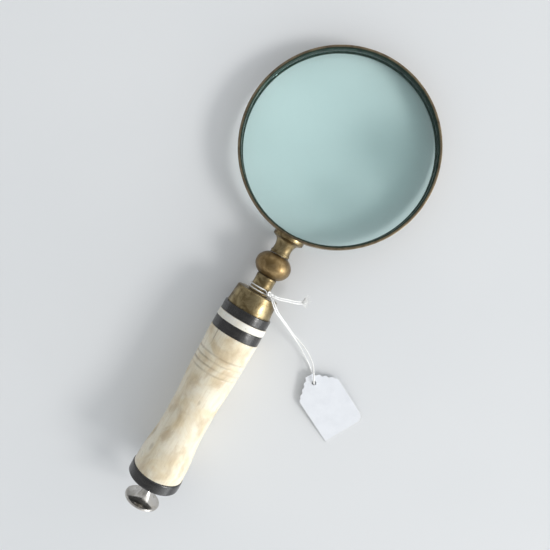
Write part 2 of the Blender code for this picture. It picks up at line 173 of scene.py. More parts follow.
class Look(Nodes):
    """A material built on one Principled shader, with short names for its texture nodes."""

    def __init__(self, name, **constants):
        self.material = bpy.data.materials.new(name)
        super().__init__(self.material)
        self.shader = self.tree.nodes["Principled BSDF"]
        for socket, value in constants.items():
            self.set(socket.replace("_", " ").title(), value)
        self.place = self.add("ShaderNodeTexCoord", {}).outputs["Object"]

    def set(self, socket, value):
        self.feed(self.shader.inputs[socket.replace("Ior", "IOR")], value)

    def scaled(self, *scale):
        """The piece's own coordinates, stretched differently along each of its axes."""
        return self.add("ShaderNodeMapping", {"Vector": self.place, "Scale": scale}).outputs[0]

    def noise(self, vector, scale=1.0, detail=3.0, rough=0.55, distortion=0.0):
        made = self.add("ShaderNodeTexNoise", {"Vector": vector, "Scale": scale, "Detail": detail,
                                               "Roughness": rough, "Distortion": distortion})
        return made.outputs["Fac"]

    def cells(self, vector, scale=1.0):
        return self.add("ShaderNodeTexVoronoi", {"Vector": vector, "Scale": scale}).outputs[0]

    def mix(self, factor, one, two):
        made = self.add("ShaderNodeMix", {}, data_type="RGBA")
        for socket, value in ((0, factor), (6, one), (7, two)):
            self.feed(made.inputs[socket], value)
        return made.outputs[2]

    def mark(self):
        """The mark that the piece's mesh carries, from 0 to 1: real dirt and wear, and painted
        shade on the rim's lip, its spring ring and the handle's lines.
        """
        return self.add("ShaderNodeAttribute", {}, attribute_name="stain").outputs["Fac"]

    def bump(self, *layers):
        """Bump from (height, depth in metres) layers, one over the other."""
        normal = None
        for height, depth in layers:
            inputs = {"Height": height, "Distance": depth, "Strength": 1.0}
            if normal:
                inputs["Normal"] = normal
            normal = self.add("ShaderNodeBump", inputs).outputs[0]
        self.set("Normal", normal)

    def finish(self, colour, roughness, *layers):
        self.set("Base Color", colour)
        self.set("Roughness", roughness)
        self.bump(*layers)
        return self.material


def brass(name, bright, dark, share, rough, grime_and_shade=(0.045, 0.028, 0.016)):
    """Old brass: brown patina in blotches over the metal, fine turned lines and light scratches."""
    look = Look(name, metallic=1.0, coat_weight=0.24, coat_roughness=0.34)
    blotch = look.noise(look.place, 190, 5, 0.62, 0.6)
    grain = look.noise(look.place, 1700, 3)
    lines = look.noise(look.scaled(60, 60, 7000), 1.0, 2)
    scratch = look.noise(look.scaled(350, 2600, 500), 1.0, 2, 0.4, 1.5)
    worn = look.span(blotch, share - 0.22, share + 0.22)
    colour = look.mix(worn, bright, dark)
    colour = look.mix(look.span(grain, 0.52, 0.78, 0.0, 0.45), colour, dark)
    # Where the mesh is marked the metal darkens to this colour: dirt in joints and at edges, and on
    # the rim and its spring ring painted shade.
    colour = look.mix(look.mark(), colour, grime_and_shade)
    sheen = look.math("ADD", look.span(blotch, 0.3, 0.7, rough - 0.06, rough + 0.1),
                      look.span(lines, 0.3, 0.7, -0.03, 0.05))
    return look.finish(colour, sheen, (blotch, 0.06 * MM), (lines, 0.006 * MM),
                       (scratch, 0.008 * MM), (grain, 0.004 * MM))


def ground_glass(name, tint):
    """The lens's ground edge."""
    look = Look(name, base_color=(*tint, 1.0), transmission_weight=1.0, ior=1.52, roughness=0.5)
    look.bump((look.noise(look.place, 2400, 3), 0.02 * MM))
    return look.material


def gathering_glass(name, tint, radius):
    """Polished glass that lets the window's light through to the floor. A thick lens gathers
    that light, so a share of it comes through, which varies over the lens."""
    look = Look(name, base_color=(*tint, 1.0), transmission_weight=1.0, ior=1.52)
    smear = look.noise(look.scaled(70, 25, 40), 1.0, 4, 0.6, 1.2)
    look.set("Roughness", look.span(smear, 0.35, 0.85, 0.0, 0.025))
    flat = look.scaled(1, 1, 0)

    def away(place):
        ends = {0: flat, 1: Vector(place) * MM}
        return look.add("ShaderNodeVectorMath", ends, operation="DISTANCE").outputs["Value"]

    share = look.span(away((0, 0, 0)), 0.35 * radius, radius, 0.9, 0.86)
    for place, reach, effect in LENS_LIGHT:
        share = look.math("MULTIPLY", share, look.span(away(place), 0.0, reach * MM, effect, 1.0))
    cloud = look.noise(flat, 38, 2, 0.5, 1.2)
    share = look.math("MULTIPLY", share, look.span(cloud, 0.3, 0.7, 0.93, 1.06))
    clear = look.add("ShaderNodeBsdfTransparent", {"Color": share}).outputs[0]
    shadow = look.add("ShaderNodeLightPath", {}).outputs["Is Shadow Ray"]
    mixed = look.add("ShaderNodeMixShader", {0: shadow, 1: look.shader.outputs[0], 2: clear})
    look.feed(look.tree.nodes["Material Output"].inputs["Surface"], mixed.outputs[0])
    return look.material


def bone(name, pale, warm, stain):
    """Polished bone: grain and pores along the handle, warm mottles, stained cuts. On the handle
    the cuts are also painted darker on the side away from the light, as shade.
    """
    look = Look(name, subsurface_weight=0.12, subsurface_radius=(0.004, 0.0026, 0.0016),
                subsurface_scale=0.6, coat_weight=0.25, coat_roughness=0.12)
    fibre = look.noise(look.scaled(1500, 1500, 55), 1.0, 5, 0.6, 0.3)
    cloud = look.noise(look.place, 75, 4, 0.55, 0.8)
    mottle = look.noise(look.scaled(90, 90, 68), 1.0, 4, 0.6, 0.45)
    pore = look.cells(look.scaled(1500, 1500, 210))
    colour = look.mix(look.span(cloud, 0.38, 0.66), pale, warm)
    colour = look.mix(look.span(mottle, 0.47, 0.72, 0.0, 0.7), colour, stain)
    colour = look.mix(look.span(fibre, 0.45, 0.75, 0.0, 0.3), colour, stain)
    colour = look.mix(look.span(pore, 0.16, 0.05, 0.0, 0.4), colour, (0.30, 0.22, 0.13))
    colour = look.mix(look.mark(), colour, (0.22, 0.145, 0.075))
    return look.finish(colour, look.span(mottle, 0.3, 0.75, 0.26, 0.46), (cloud, 0.12 * MM),
                       (fibre, 0.012 * MM), (look.span(pore, 0.14, 0.04), -0.02 * MM))


def horn(name):
    """Black horn: smoky grey layers, fine saw and polish marks, a waxy shine."""
    look = Look(name, specular_ior_level=0.7, coat_weight=0.3, coat_roughness=0.26)
    layer = look.noise(look.scaled(130, 90, 260), 1.0, 4, 0.55, 1.6)
    streak = look.noise(look.scaled(110, 110, 3200), 1.0, 3, 0.6)
    scratch = look.noise(look.scaled(1800, 500, 400), 1.0, 2, 0.5, 1.0)
    colour = look.mix(look.span(layer, 0.45, 0.8), (0.006, 0.005, 0.0045), (0.022, 0.02, 0.018))
    colour = look.mix(look.span(streak, 0.55, 0.85, 0.0, 0.25), colour, (0.06, 0.057, 0.054))
    colour = look.mix(look.mark(), colour, (0.004, 0.004, 0.004))
    return look.finish(colour, look.span(scratch, 0.3, 0.75, 0.22, 0.34), (layer, 0.03 * MM),
                       (streak, 0.003 * MM), (scratch, 0.003 * MM))


def nickel(name):
    """Bright nickel plate with hair scratches, and dull yellow where it has worn."""
    look = Look(name, metallic=1.0)
    haze = look.noise(look.place, 420, 4, 0.6, 0.8)
    lines = look.noise(look.scaled(90, 90, 9000), 1.0, 2)
    scratch = look.noise(look.scaled(900, 5200, 1300), 1.0, 2, 0.4, 2.0)
    worn = look.span(haze, 0.45, 0.75, 0.0, 0.7)
    colour = look.mix(worn, (0.60, 0.575, 0.545), (0.46, 0.42, 0.35))
    return look.finish(colour, look.span(haze, 0.35, 0.75, 0.13, 0.27), (lines, 0.0025 * MM),
                       (scratch, 0.003 * MM))


def steel(name):
    """Plain steel, spotted with brown oxide."""
    look = Look(name, metallic=1.0)
    oxide = look.noise(look.place, 650, 4, 0.6)
    colour = look.mix(look.span(oxide, 0.45, 0.7), (0.45, 0.45, 0.46), (0.16, 0.13, 0.11))
    return look.finish(colour, look.span(oxide, 0.3, 0.7, 0.3, 0.55),
                       (look.noise(look.place, 3000, 2), 0.008 * MM))


def wood(name):
    """Planed wood, its grain along the handle."""
    look = Look(name, specular_ior_level=0.3)
    grain = look.noise(look.scaled(900, 60, 900), 1.0, 5, 0.65, 0.5)
    colour = look.mix(look.span(grain, 0.35, 0.7), (0.46, 0.30, 0.17), (0.24, 0.14, 0.07))
    return look.finish(colour, look.span(grain, 0.3, 0.7, 0.6, 0.8), (grain, 0.05 * MM))


def cotton(name):
    """Soft white cotton yarn, its fibres finer than its plies."""
    look = Look(name, sheen_weight=0.35, sheen_roughness=0.5, specular_ior_level=0.2)
    fibre = look.noise(look.place, 9000, 3, 0.65)
    soil = look.noise(look.place, 260, 3)
    soiled = look.span(soil, 0.45, 0.75, 0.0, 0.5)
    colour = look.mix(soiled, (0.93, 0.93, 0.92), (0.83, 0.82, 0.79))
    return look.finish(colour, look.span(fibre, 0.3, 0.7, 0.8, 0.98), (fibre, 0.06 * MM))


def card(name):
    """Smooth white card: a felted surface, faint clouding and a grey, handled edge."""
    look = Look(name, specular_ior_level=0.35, subsurface_weight=0.05,
                subsurface_radius=(0.001, 0.001, 0.001), subsurface_scale=0.3)
    felt = look.noise(look.place, 2600, 5, 0.7)
    cloud = look.noise(look.place, 130, 4, 0.6)
    colour = look.mix(look.span(cloud, 0.35, 0.75), (0.80, 0.82, 0.86), (0.755, 0.775, 0.815))
    colour = look.mix(look.span(felt, 0.55, 0.8, 0.0, 0.25), colour, (0.75, 0.76, 0.78))
    colour = look.mix(look.mark(), colour, (0.60, 0.59, 0.57))
    return look.finish(colour, look.span(felt, 0.3, 0.7, 0.62, 0.82), (cloud, 0.1 * MM),
                       (felt, 0.012 * MM))


def paper_floor(name):
    """Matt pale grey paper with a fine tooth."""
    look = Look(name, specular_ior_level=0.2)
    tooth = look.noise(look.place, 900, 4, 0.6)
    cloud = look.noise(look.place, 6, 2)
    colour = look.mix(look.span(cloud, 0.3, 0.7), (0.755, 0.77, 0.785), (0.775, 0.787, 0.80))
    return look.finish(colour, look.span(tooth, 0.3, 0.7, 0.75, 0.9), (tooth, 0.01 * MM))


# ---- mesh tools

def joined(rings, endless):
    """Points and faces over rings of equally many points, each joined to the next. Endless, the
    last ring is joined to the first. If not, the first two faces close the ends."""
    count = len(rings[0])
    points = [point for ring in rings for point in ring]
    faces = []
    if not endless:
        faces = [tuple(range(count)), tuple(range(len(points) - count, len(points)))]
    for one in range(len(rings) if endless else len(rings) - 1):
        two = (one + 1) % len(rings)
        for i in range(count):
            after = (i + 1) % count
            faces.append((one * count + i, one * count + after,
                          two * count + after, two * count + i))
    return points, faces


def closed_mesh(name, points, faces, stains_and_shade=None):
    """A closed mesh, in which points that coincide become one."""
    mesh = bpy.data.meshes.new(name)
    mesh.from_pydata(points, [], faces)
    if stains_and_shade:
        mesh.attributes.new("stain", "FLOAT", "POINT").data.foreach_set("value", stains_and_shade)
    shape = bmesh.new()
    shape.from_mesh(mesh)
    bmesh.ops.remove_doubles(shape, verts=shape.verts, dist=1e-7)
    bmesh.ops.recalc_face_normals(shape, faces=shape.faces)
    shape.to_mesh(mesh)
    shape.free()
    return mesh


def rounded(outline, steps=4):
    """Corners given as (radius, station, round) become small arcs; plain ones stay sharp."""
    made = []
    for i, (radius, station, *size) in enumerate(outline):
        here = Vector((radius, station))
        if not size:
            made.append(here)
            continue
        before = Vector(outline[i - 1][:2]) - here
        after = Vector(outline[(i + 1) % len(outline)][:2]) - here
        cut = min(size[0], before.length / 2, after.length / 2)
        start = here + before.normalized() * cut
        end = here + after.normalized() * cut
        for t in (step / steps for step in range(steps + 1)):
            made.append(start * (1 - t) ** 2 + here * (2 * t * (1 - t)) + end * t ** 2)
    return made


def dense(outline, spacing):
    """More points along an outline's long straight runs."""
    made = []
    for here, after in zip(outline, outline[1:] + outline[:1]):
        count = max(1, math.ceil((after - here).length / spacing))
        made += [here.lerp(after, i / count) for i in range(count)]
    return made


def arc(centre, size, start, end, steps):
    """Points on an ellipse's arc as (radius, station), with angles in degrees from +radius."""
    turns = [math.radians(start + (end - start) * i / steps) for i in range(steps + 1)]
    return [(centre[0] + size[0] * math.cos(t), centre[1] + size[1] * math.sin(t)) for t in turns]


def lathe(name, outline, segments, shift=None, opening=0.0):
    """Turns a closed outline round Z. shift(angle, radius, height) gives each point's change of
    radius and its mark of dirt and wear, in places painted shade. An opening, as an angle, leaves a
    split."""
    rings, stains_and_shade = [], []
    steps = segments + 1 if opening else segments
    for i in range(steps):
        angle = (TURN - opening) * i / segments
        ring = []
        for radius, height in outline:
            moved, stain = shift(angle, radius, height) if shift and radius else (0.0, 0.0)
            ring.append(((radius + moved) * math.cos(angle), (radius + moved) * math.sin(angle),
                         height))
            stains_and_shade.append(stain)
        rings.append(ring)
    return closed_mesh(name, *joined(rings, not opening), stains_and_shade)


def uneven(seed, around, along, amount):
    """A smooth hand-made unevenness: bumps a turn, bumps a metre, and their height."""
    def value(angle, height):
        place = Vector((math.cos(angle) * around, math.sin(angle) * around, height * along))
        return amount * noise.noise(place + Vector((seed * 7.3, seed * 3.1, seed * 1.7)))
    return value


def groove(distance, half):
    """Depth of a rounded groove, from 0 to 1, at a distance from its middle line."""
    return max(0.0, 1 - (distance / half) ** 2) ** 1.5


def near(distance, reach):
    """1 at no distance, falling evenly to 0 at the reach, in both directions."""
    return max(0.0, 1 - abs(distance) / reach)


def way_round(angle, degrees, radius):
    """How far an angle lies from a place given in degrees, along the turned surface."""
    return ((angle - math.radians(degrees) + math.pi) % TURN - math.pi) * radius


def thread(depth, threaded):
    """Shift of a screw's thread, where threaded(radius, height) says there is one."""
    def shift(angle, radius, height):
        phase = (height / PITCH - angle / TURN) % 1.0
        return -depth * (1 - abs(2 * phase - 1)) if threaded(radius, height) else 0.0, 0.0
    return shift


def placed(name, data, matrix=Matrix.Identity(4)):
    """A new object in the scene."""
    made = bpy.data.objects.new(name, data)
    bpy.context.collection.objects.link(made)
    made.matrix_world = matrix
    return made


def at_station(station):
    """Matrix of a turned piece's own axes, with their origin at a station on the handle."""
    return AXIS @ Matrix.Translation((0, -station, 0)) @ Matrix.Rotation(math.pi / 2, 4, "X")


def show(name, mesh, look, nodes, body="magnifier", matrix=AXIS, sharp=40):
    """Puts a finished mesh in the scene as a piece that stands for CAD nodes."""
    if look:
        mesh.materials.append(look)
    mesh.shade_smooth()
    mesh.set_sharp_from_angle(angle=math.radians(sharp))
    piece = placed(name, mesh, matrix)
    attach(piece, body)
    if nodes:
        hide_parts(*nodes)
    return piece


def turned(name, outline, segments, look, node, body="magnifier", shift=None):
    """A turned piece on the handle's axis from (radius, station) points. Its own origin lies on
    the axis at its first station."""
    start = min(station for _, station in outline)
    local = [(radius, station - start) for radius, station in outline]
    mesh = lathe(name, local, segments, shift)
    return show(name, mesh, look, [node], body, at_station(start))


def carve(piece, mesh, matrix):
    """Cuts a mesh out of a piece for good."""
    tool = placed("carving_tool", mesh, matrix)
    cut = piece.modifiers.new("cut", "BOOLEAN")
    cut.solver = "EXACT"
    cut.object = tool
    bpy.context.view_layer.update()
    evaluated = piece.evaluated_get(bpy.context.evaluated_depsgraph_get())
    finished = bpy.data.meshes.new_from_object(evaluated)
    piece.modifiers.clear()
    piece.data = finished
    bpy.data.objects.remove(tool, do_unlink=True)


# ---- camera and light

def build_camera():
    data = bpy.data.cameras.new("camera")
    data.lens = CAMERA_LENS
    data.sensor_width = 36
    data.clip_start = 0.01
    back = (CAMERA_PLACE - CAMERA_TARGET).normalized()
    right = CAMERA_UP.cross(back).normalized()
    up = back.cross(right)
    turn = Matrix((right, up, back)).transposed().to_4x4()
    camera = placed("camera", data, Matrix.Translation(CAMERA_PLACE) @ turn)
    bpy.context.scene.camera = camera


def build_stage():
    """Pale paper floor, a soft window on the right, and a room that is dimmer overhead."""
    around = 48
    rings = [[(radius * math.cos(TURN * i / around), radius * math.sin(TURN * i / around), 0.0)
              for i in range(around)] for radius in (0.2 * 1.6 ** ring for ring in range(8))]
    points, faces = joined(rings, endless=False)
    middle, _, *bands = faces       # the outermost ring stays open
    mesh = bpy.data.meshes.new("floor")
    mesh.from_pydata(points, [], [middle] + [band[::-1] for band in bands])
    mesh.materials.append(paper_floor("floor_paper"))
    placed("floor", mesh)

    data = bpy.data.lights.new("window", "AREA")
    data.shape = "RECTANGLE"
    data.size = WINDOW_WIDE
    data.size_y = WINDOW_TALL
    data.energy = WINDOW_POWER
    data.color = (1.0, 0.985, 0.965)
    turn = (-WINDOW_WAY).to_track_quat("-Z", "Y").to_matrix().to_4x4()
    placed("window", data, Matrix.Translation(WINDOW_WAY * WINDOW_FAR) @ turn)

    world = bpy.data.worlds.new("room")
    bpy.context.scene.world = world
    room = Nodes(world)
    way = room.add("ShaderNodeTexCoord", {}).outputs["Generated"]
    parts = room.add("ShaderNodeSeparateXYZ", {"Vector": way}).outputs
    low = room.span(parts["Z"], 0.0, 0.9, 1.0, 0.0, kind="LINEAR")
    side = room.span(parts["X"], -1.0, 1.0, ROOM_LEFT, ROOM_RIGHT, kind="LINEAR")
    high = room.span(parts["Z"], 0.0, 0.9, 0.0, ROOM_TOP, kind="LINEAR")
    background = room.tree.nodes["Background"].inputs
    room.feed(background["Color"], (0.96, 0.985, 1.0))
    room.feed(background["Strength"], room.math("ADD", room.math("MULTIPLY", low, side), high))
    bpy.context.scene.view_settings.view_transform = "Standard"


# ---- string and tag

def smooth_route(route, spacing):
    """Points at an even spacing on the smooth curve through a route's own points."""
    ends = [2 * route[0] - route[1]] + route + [2 * route[-1] - route[-2]]
    fine = []
    for a, b, c, d in zip(ends, ends[1:], ends[2:], ends[3:]):
        for t in (i / 24 for i in range(24)):
            fine.append(0.5 * (2 * b + (c - a) * t + (2 * a - 5 * b + 4 * c - d) * t ** 2
                               + (3 * b - a - 3 * c + d) * t ** 3))
    fine.append(route[-1])
    total = sum((b - a).length for a, b in zip(fine, fine[1:]))
    count = max(2, round(total / spacing))
    points = [fine[0]]
    walked = 0.0
    for a, b in zip(fine, fine[1:]):
        step = (b - a).length
        while len(points) < count and walked + step >= total * len(points) / count:
            points.append(a.lerp(b, (total * len(points) / count - walked) / step))
        walked += step
    return points + [fine[-1]]


def tube(path, section, sides, turns_per_metre=0.0):
    """Rings of a tube along a path. section(angle, walked) gives the radius, and the section
    turns with the way walked."""
    rings = []
    side = Vector((0, 0, 1)).cross(path[1] - path[0]).normalized()
    walked = 0.0
    for i, here in enumerate(path):
        ahead = (path[min(i + 1, len(path) - 1)] - path[max(i - 1, 0)]).normalized()
        side = (side - ahead * side.dot(ahead)).normalized()
        up = ahead.cross(side)
        if i:
            walked += (here - path[i - 1]).length
        ring = []
        for k in range(sides):
            angle = TURN * k / sides
            radius = section(angle, walked)
            turn = angle + TURN * turns_per_metre * walked
            ring.append(tuple(here + (side * math.cos(turn) + up * math.sin(turn)) * radius))
        rings.append(ring)
    return rings


def around_sleeve(node, start, end, steps, radius):
    """Points of a turn of string round the sleeve, with angles in degrees from straight up."""
    first, last, _ = extent(node)
    station = (first + last) / 2
    points = []
    for i in range(steps + 1):
        angle = math.radians(start + (end - start) * i / steps)
        points.append(AXIS @ Vector((radius * math.sin(angle), -station, radius * math.cos(angle))))
    return points


def show_cotton(name, mesh, look, nodes, sharp=70):
    return show(name, mesh, look, nodes, matrix=Matrix.Identity(4), sharp=sharp)


def build_string():
    """One length of string: in along the tail, once round the sleeve, out to the tag and back,
    once more round and out along the tail again. The knot holds it where they all meet."""
    loop = [Vector(place) * MM for place in LOOP_ROUTE]
    tail = [Vector(place) * MM for place in TAIL_ROUTE]
    beside = Vector((-0.25, 0.9, -0.35)).normalized() * STRING * 0.62
    inward = [place + beside * (1 + 0.5 * i / len(tail)) for i, place in enumerate(tail)][::-1]
    outward = [place - beside * (1 + 0.5 * i / len(tail)) for i, place in enumerate(tail)]
    outward[-1] = outward[-1].lerp(outward[-2], 0.3)
    _, _, sleeve_radius = extent("neck_sleeve")
    radius = sleeve_radius + STRING * 0.52
    first_turn = around_sleeve("string_turn_1", 58, 388, 20, radius)
    second_turn = around_sleeve("string_turn_2", 34, -298, 20, radius)
    route = inward + first_turn + loop + second_turn + outward
    path = smooth_route(route, 0.16 * MM)
    length = sum((b - a).length for a, b in zip(path, path[1:]))
    swell = uneven(3, 0.4, 900, 0.05)

    def section(angle, walked):
        lobe = abs(math.cos(PLIES * angle / 2))
        return STRING / 2 * (0.83 + 0.2 * lobe + swell(0.0, walked))

    rings = tube(path, section, 15, 1 / LAY_LENGTH)
    look = cotton("cotton_string")
    nodes = ["string_turn_1", "string_turn_2", "string_loop", "string_tail"]
    mesh = closed_mesh("string", *joined(rings, endless=False))
    cord = show_cotton("string", mesh, look, nodes)
    low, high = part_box("string_knot")
    knot = build_knot((low + high) / 2, look)
    fray = build_fray([(path[0], path[0] - path[12]), (path[-1], path[-1] - path[-13])], look)
    return cord, knot, fray, path, length


def build_knot(centre, look):
    """The overhand knot, a trefoil of the same string drawn tight."""
    size = 0.56 * MM
    lean = Matrix.Rotation(math.radians(38), 4, "Y") @ Matrix.Rotation(math.radians(25), 4, "X")
    path = []
    steps = 150
    for i in range(steps):
        t = TURN * i / steps
        place = Vector((math.sin(t) + 2 * math.sin(2 * t), math.cos(t) - 2 * math.cos(2 * t),
                        -1.2 * math.sin(3 * t)))
        path.append(centre + lean @ (place * size))

    def section(angle, walked):
        return STRING / 2 * (1.02 + 0.2 * abs(math.cos(PLIES * angle / 2)))

    rings = tube(path, section, 15, 1 / LAY_LENGTH)
    mesh = closed_mesh("string_knot_drawn", *joined(rings, endless=True))
    return show_cotton("string_knot_drawn", mesh, look, ["string_knot"])


def build_fray(ends, look):
    """Loose fibres at each cut end, fanning out and a little down."""
    points, faces = [], []
    for number, (place, ahead) in enumerate(ends):
        ahead = ahead.normalized()
        side = ahead.cross(Vector((0, 0, 1))).normalized()
        up = side.cross(ahead)
        for i in range(FIBRES):
            spin = GOLDEN_TURN * i
            spread = math.sqrt((i + 0.5) / FIBRES)
            reach = (2.4 + 2.4 * abs(noise.noise(Vector((i * 1.7, number * 5.1, 0.3))))) * MM
            outward = side * math.cos(spin) + up * math.sin(spin)
            root = place + outward * spread * STRING * 0.5 - ahead * 1.3 * MM
            bend = outward * spread * 0.85 + Vector((0, 0, -0.12))
            path = [root + ahead * reach * t + bend * reach * t ** 1.8
                    for t in (step / 6 for step in range(7))]
            fibre, walls = joined(tube(path, lambda angle, walked: FIBRE / 2, 5), endless=False)
            faces += [tuple(len(points) + corner for corner in wall) for wall in walls]
            points += fibre
    return show_cotton("string_fray", closed_mesh("string_fray", points, faces), look, [], 80)


def tag_edge():
    """Outline of the card round its hole, in millimetres as (along, across): a narrow top,
    scalloped shoulders, straight sides and one worn bottom corner."""
    steps = 28
    start, end = Vector((-TAG_ABOVE, 2.3)), Vector((3.6, 11.7))
    along = (end - start).normalized()
    side = [(-TAG_ABOVE, 0.0)]
    for share in (step / steps for step in range(steps + 1)):
        bite = 0.42 * (1 - math.cos(TURN * SCALLOPS * share)) * (1 - 0.3 * share)
        side.append(tuple(start.lerp(end, share) + Vector((along.y, -along.x)) * bite))
    side += [(4.35, 12.2), (5.2, TAG_HALF)]
    worn = [(TAG_BELOW - 4 + 4 * math.sin(t), TAG_HALF - 4 + 4 * math.cos(t))
            for t in (math.radians(9 * i) for i in range(11))]
    left = [(x, -y) for x, y in reversed(side)]
    corners = side + worn + [(TAG_BELOW, -TAG_HALF)] + left[:-1]
    edge = []
    for here, after in zip(corners, corners[1:] + corners[:1]):
        count = max(1, round(math.dist(here, after) / 0.4))
        for i in range(count):
            edge.append(Vector(here).lerp(Vector(after), i / count))
    return edge


def build_tag():
    """The card: a thin closed sheet from its hole to its edge, gently warped."""
    steps = 26
    slope = math.asin((TAG_LIFT - TAG_THICK / 2) / TAG_BELOW)
    rings, stains_and_shade = [], []
    for rim in tag_edge():
        away = rim.normalized()
        worn = noise.noise(Vector((rim.x * 0.9, rim.y * 0.9, 1.3)))
        corner = max(0.0, 1 - (rim - Vector((TAG_BELOW, TAG_HALF))).length / 6.5)
        rim = rim - away * (0.05 * worn + 0.25 * corner * abs(worn))
        top, bottom, handled = [], [], []
        for step in range(steps + 1):
            t = step / steps
            place = (away * TAG_HOLE).lerp(rim, t)
            warp = 0.14 * math.sin(math.pi * (place.x + TAG_ABOVE) / (TAG_ABOVE + TAG_BELOW))
            warp *= (place.y / TAG_HALF) ** 2 - 0.25
            lift = 0.07 * math.exp(-((t * rim.length) / 0.5) ** 2)
            thin = 0.75 if step in (0, steps) else 1.0
            edge = 0.55 if step == steps else 0.0
            handled.append(edge + 0.6 * t ** 12 * corner * max(0.0, worn + 0.35))
            top.append((place.x * MM, place.y * MM, (warp + lift + thin * TAG_THICK / 2) * MM))
            bottom.append((place.x * MM, place.y * MM, (warp - thin * TAG_THICK / 2) * MM))
        rings.append(top + bottom[::-1])
        stains_and_shade += handled + handled[::-1]
    mesh = closed_mesh("tag", *joined(rings, endless=True), stains_and_shade)
    turn = Matrix.Rotation(math.radians(TAG_TURN), 4, "Z") @ Matrix.Rotation(slope, 4, "Y")
    return show("tag", mesh, card("tag_card_paper"), ["tag_card"],
                matrix=Matrix.Translation(Vector(TAG_PLACE) * MM) @ turn)


# ---- rim and lens

def build_head():
    """Rim, lens and its spring ring, and the hole for the screw behind it."""
    lip, outside, low, high = ring_extent("rim_band")
    _, lens_radius, _, lens_high = ring_extent("lens")
    ring_inside, ring_outside, ring_low, ring_high = ring_extent("lens_spring_ring")
    half_edge = 1.5 * MM
    seat = lens_radius + 0.12 * MM
    # The rim's dark green mark colour is painted shade: it darkens the lip's inner wall and the
    # spring ring, where shade falls, and faintly soils the outer edges.
    metal = brass("brass_rim", (0.37, 0.29, 0.18), (0.17, 0.125, 0.08), 0.5, 0.34,
                  grime_and_shade=(0.012, 0.042, 0.034))
    line = 1.1 * MM
    outline = rounded([
        (outside, high, 0.45 * MM), (outside, high - line + 0.12 * MM, 0.05 * MM),
        (outside - 0.1 * MM, high - line, 0.05 * MM), (outside, high - line - 0.12 * MM, 0.05 * MM),
        (outside, low + line, 0.05 * MM), (outside, low, 0.45 * MM), (seat, low, 0.2 * MM),
        (seat, ring_low - 0.1 * MM), (ring_outside + 0.1 * MM, ring_low - 0.1 * MM),
        (ring_outside + 0.1 * MM, ring_high + 0.1 * MM), (seat, ring_high + 0.1 * MM),
        (seat, half_edge + 0.12 * MM), (lip, half_edge + 0.12 * MM, 0.12 * MM),
        (lip, high, 0.4 * MM)])
    bend = uneven(1, 2.2, 60, 0.05 * MM)
    nick = uneven(2, 30, 900, 0.02 * MM)

    def rim_shift(angle, radius, height):
        soiled = near(abs(height) - high, 0.5 * MM) * 0.1
        # The lip's inner wall is painted dark green as shade.
        shaded_wall = min(1.0, max(0.0, (lip + 0.75 * MM - radius) / (0.35 * MM)))
        return bend(angle, height) + nick(angle, height), max(0.92 * shaded_wall, soiled)

    mesh = lathe("rim", dense(outline, 0.9 * MM), 288, rim_shift)
    rim = show("rim", mesh, metal, ["rim_band"])
    screw_low, screw_high, screw_radius = extent("neck_screw")
    hole = [(0.0, screw_low - 2 * MM), (screw_radius + 0.1 * MM, screw_low - 2 * MM),
            (screw_radius + 0.1 * MM, screw_low + 0.25 * MM),
            (screw_radius - 0.3 * MM, screw_low + 0.65 * MM),
            (screw_radius - 0.3 * MM, screw_high), (0.0, screw_high)]
    carve(rim, lathe("screw_hole", [(r, s - screw_low) for r, s in hole], 48),
          at_station(screw_low))

    spring = rounded([(ring_outside, ring_high, 0.2 * MM), (ring_outside, ring_low, 0.2 * MM),
                      (ring_inside, ring_low, 0.3 * MM), (ring_inside, ring_high, 0.2 * MM)])
    split = math.radians(9)
    # The spring ring is marked all over and takes the rim's dark green: painted shade, for the
    # shade in its groove under the lens.
    mesh = lathe("spring_ring", spring, 240, lambda angle, radius, height: (0.0, 0.9), split)
    mesh.transform(Matrix.Rotation(split / 2 - math.pi / 2, 4, "Z"))
    show("spring_ring", mesh, metal, ["lens_spring_ring"])

    rise = lens_high - half_edge
    curve = (lens_radius ** 2 + rise ** 2) / (2 * rise)
    steps = 44
    radii = [lens_radius * math.sin(math.pi / 2 * i / steps) for i in range(steps + 1)]
    face = [(r, half_edge + math.sqrt(curve ** 2 - r ** 2) - (curve - rise)) for r in radii[:-1]]
    bevel = 0.18 * MM
    top = face + [(lens_radius - bevel, half_edge), (lens_radius, half_edge - bevel)]
    outline = top + [(r, -height) for r, height in reversed(top)]
    mesh = lathe("lens_polished", outline, 288)
    mesh.materials.append(gathering_glass("glass_polished", (0.83, 1.0, 0.985), lens_radius))
    mesh.materials.append(ground_glass("glass_ground", (0.03, 0.17, 0.13)))
    for polygon in mesh.polygons:
        polygon.material_index = int(abs(polygon.normal.z) < 0.5)
    show("lens_polished", mesh, None, ["lens"])
    return metal


def build_screw(look):
    """Slotted countersunk screw, its head flush inside the rim."""
    start, end, head = extent("neck_screw")
    shank = head - 0.4 * MM
    outline = rounded([(0.0, start), (head, start, 0.08 * MM), (head, start + 0.2 * MM),
                       (shank, start + 0.6 * MM), (shank, end - 0.3 * MM), (shank - 0.3 * MM, end),
                       (0.0, end)])
    shift = thread(0.12 * MM, lambda radius, height: height >= 1.2 * MM and radius >= shank * 0.9)
    screw = turned("screw", dense(outline, 0.08 * MM), 40, look, "neck_screw",
                   shift=shift)
    wide, deep = 0.35 * MM, 0.45 * MM
    slot = bpy.data.meshes.new("slot")
    shape = bmesh.new()
    bmesh.ops.create_cube(shape, size=1.0)
    bmesh.ops.scale(shape, vec=(4 * head, 2 * deep, wide), verts=shape.verts)
    shape.to_mesh(slot)
    shape.free()
    carve(screw, slot, AXIS @ Matrix.Translation((0, -start, 0)) @ Matrix.Rotation(0.6, 4, "Y"))


# ---- neck

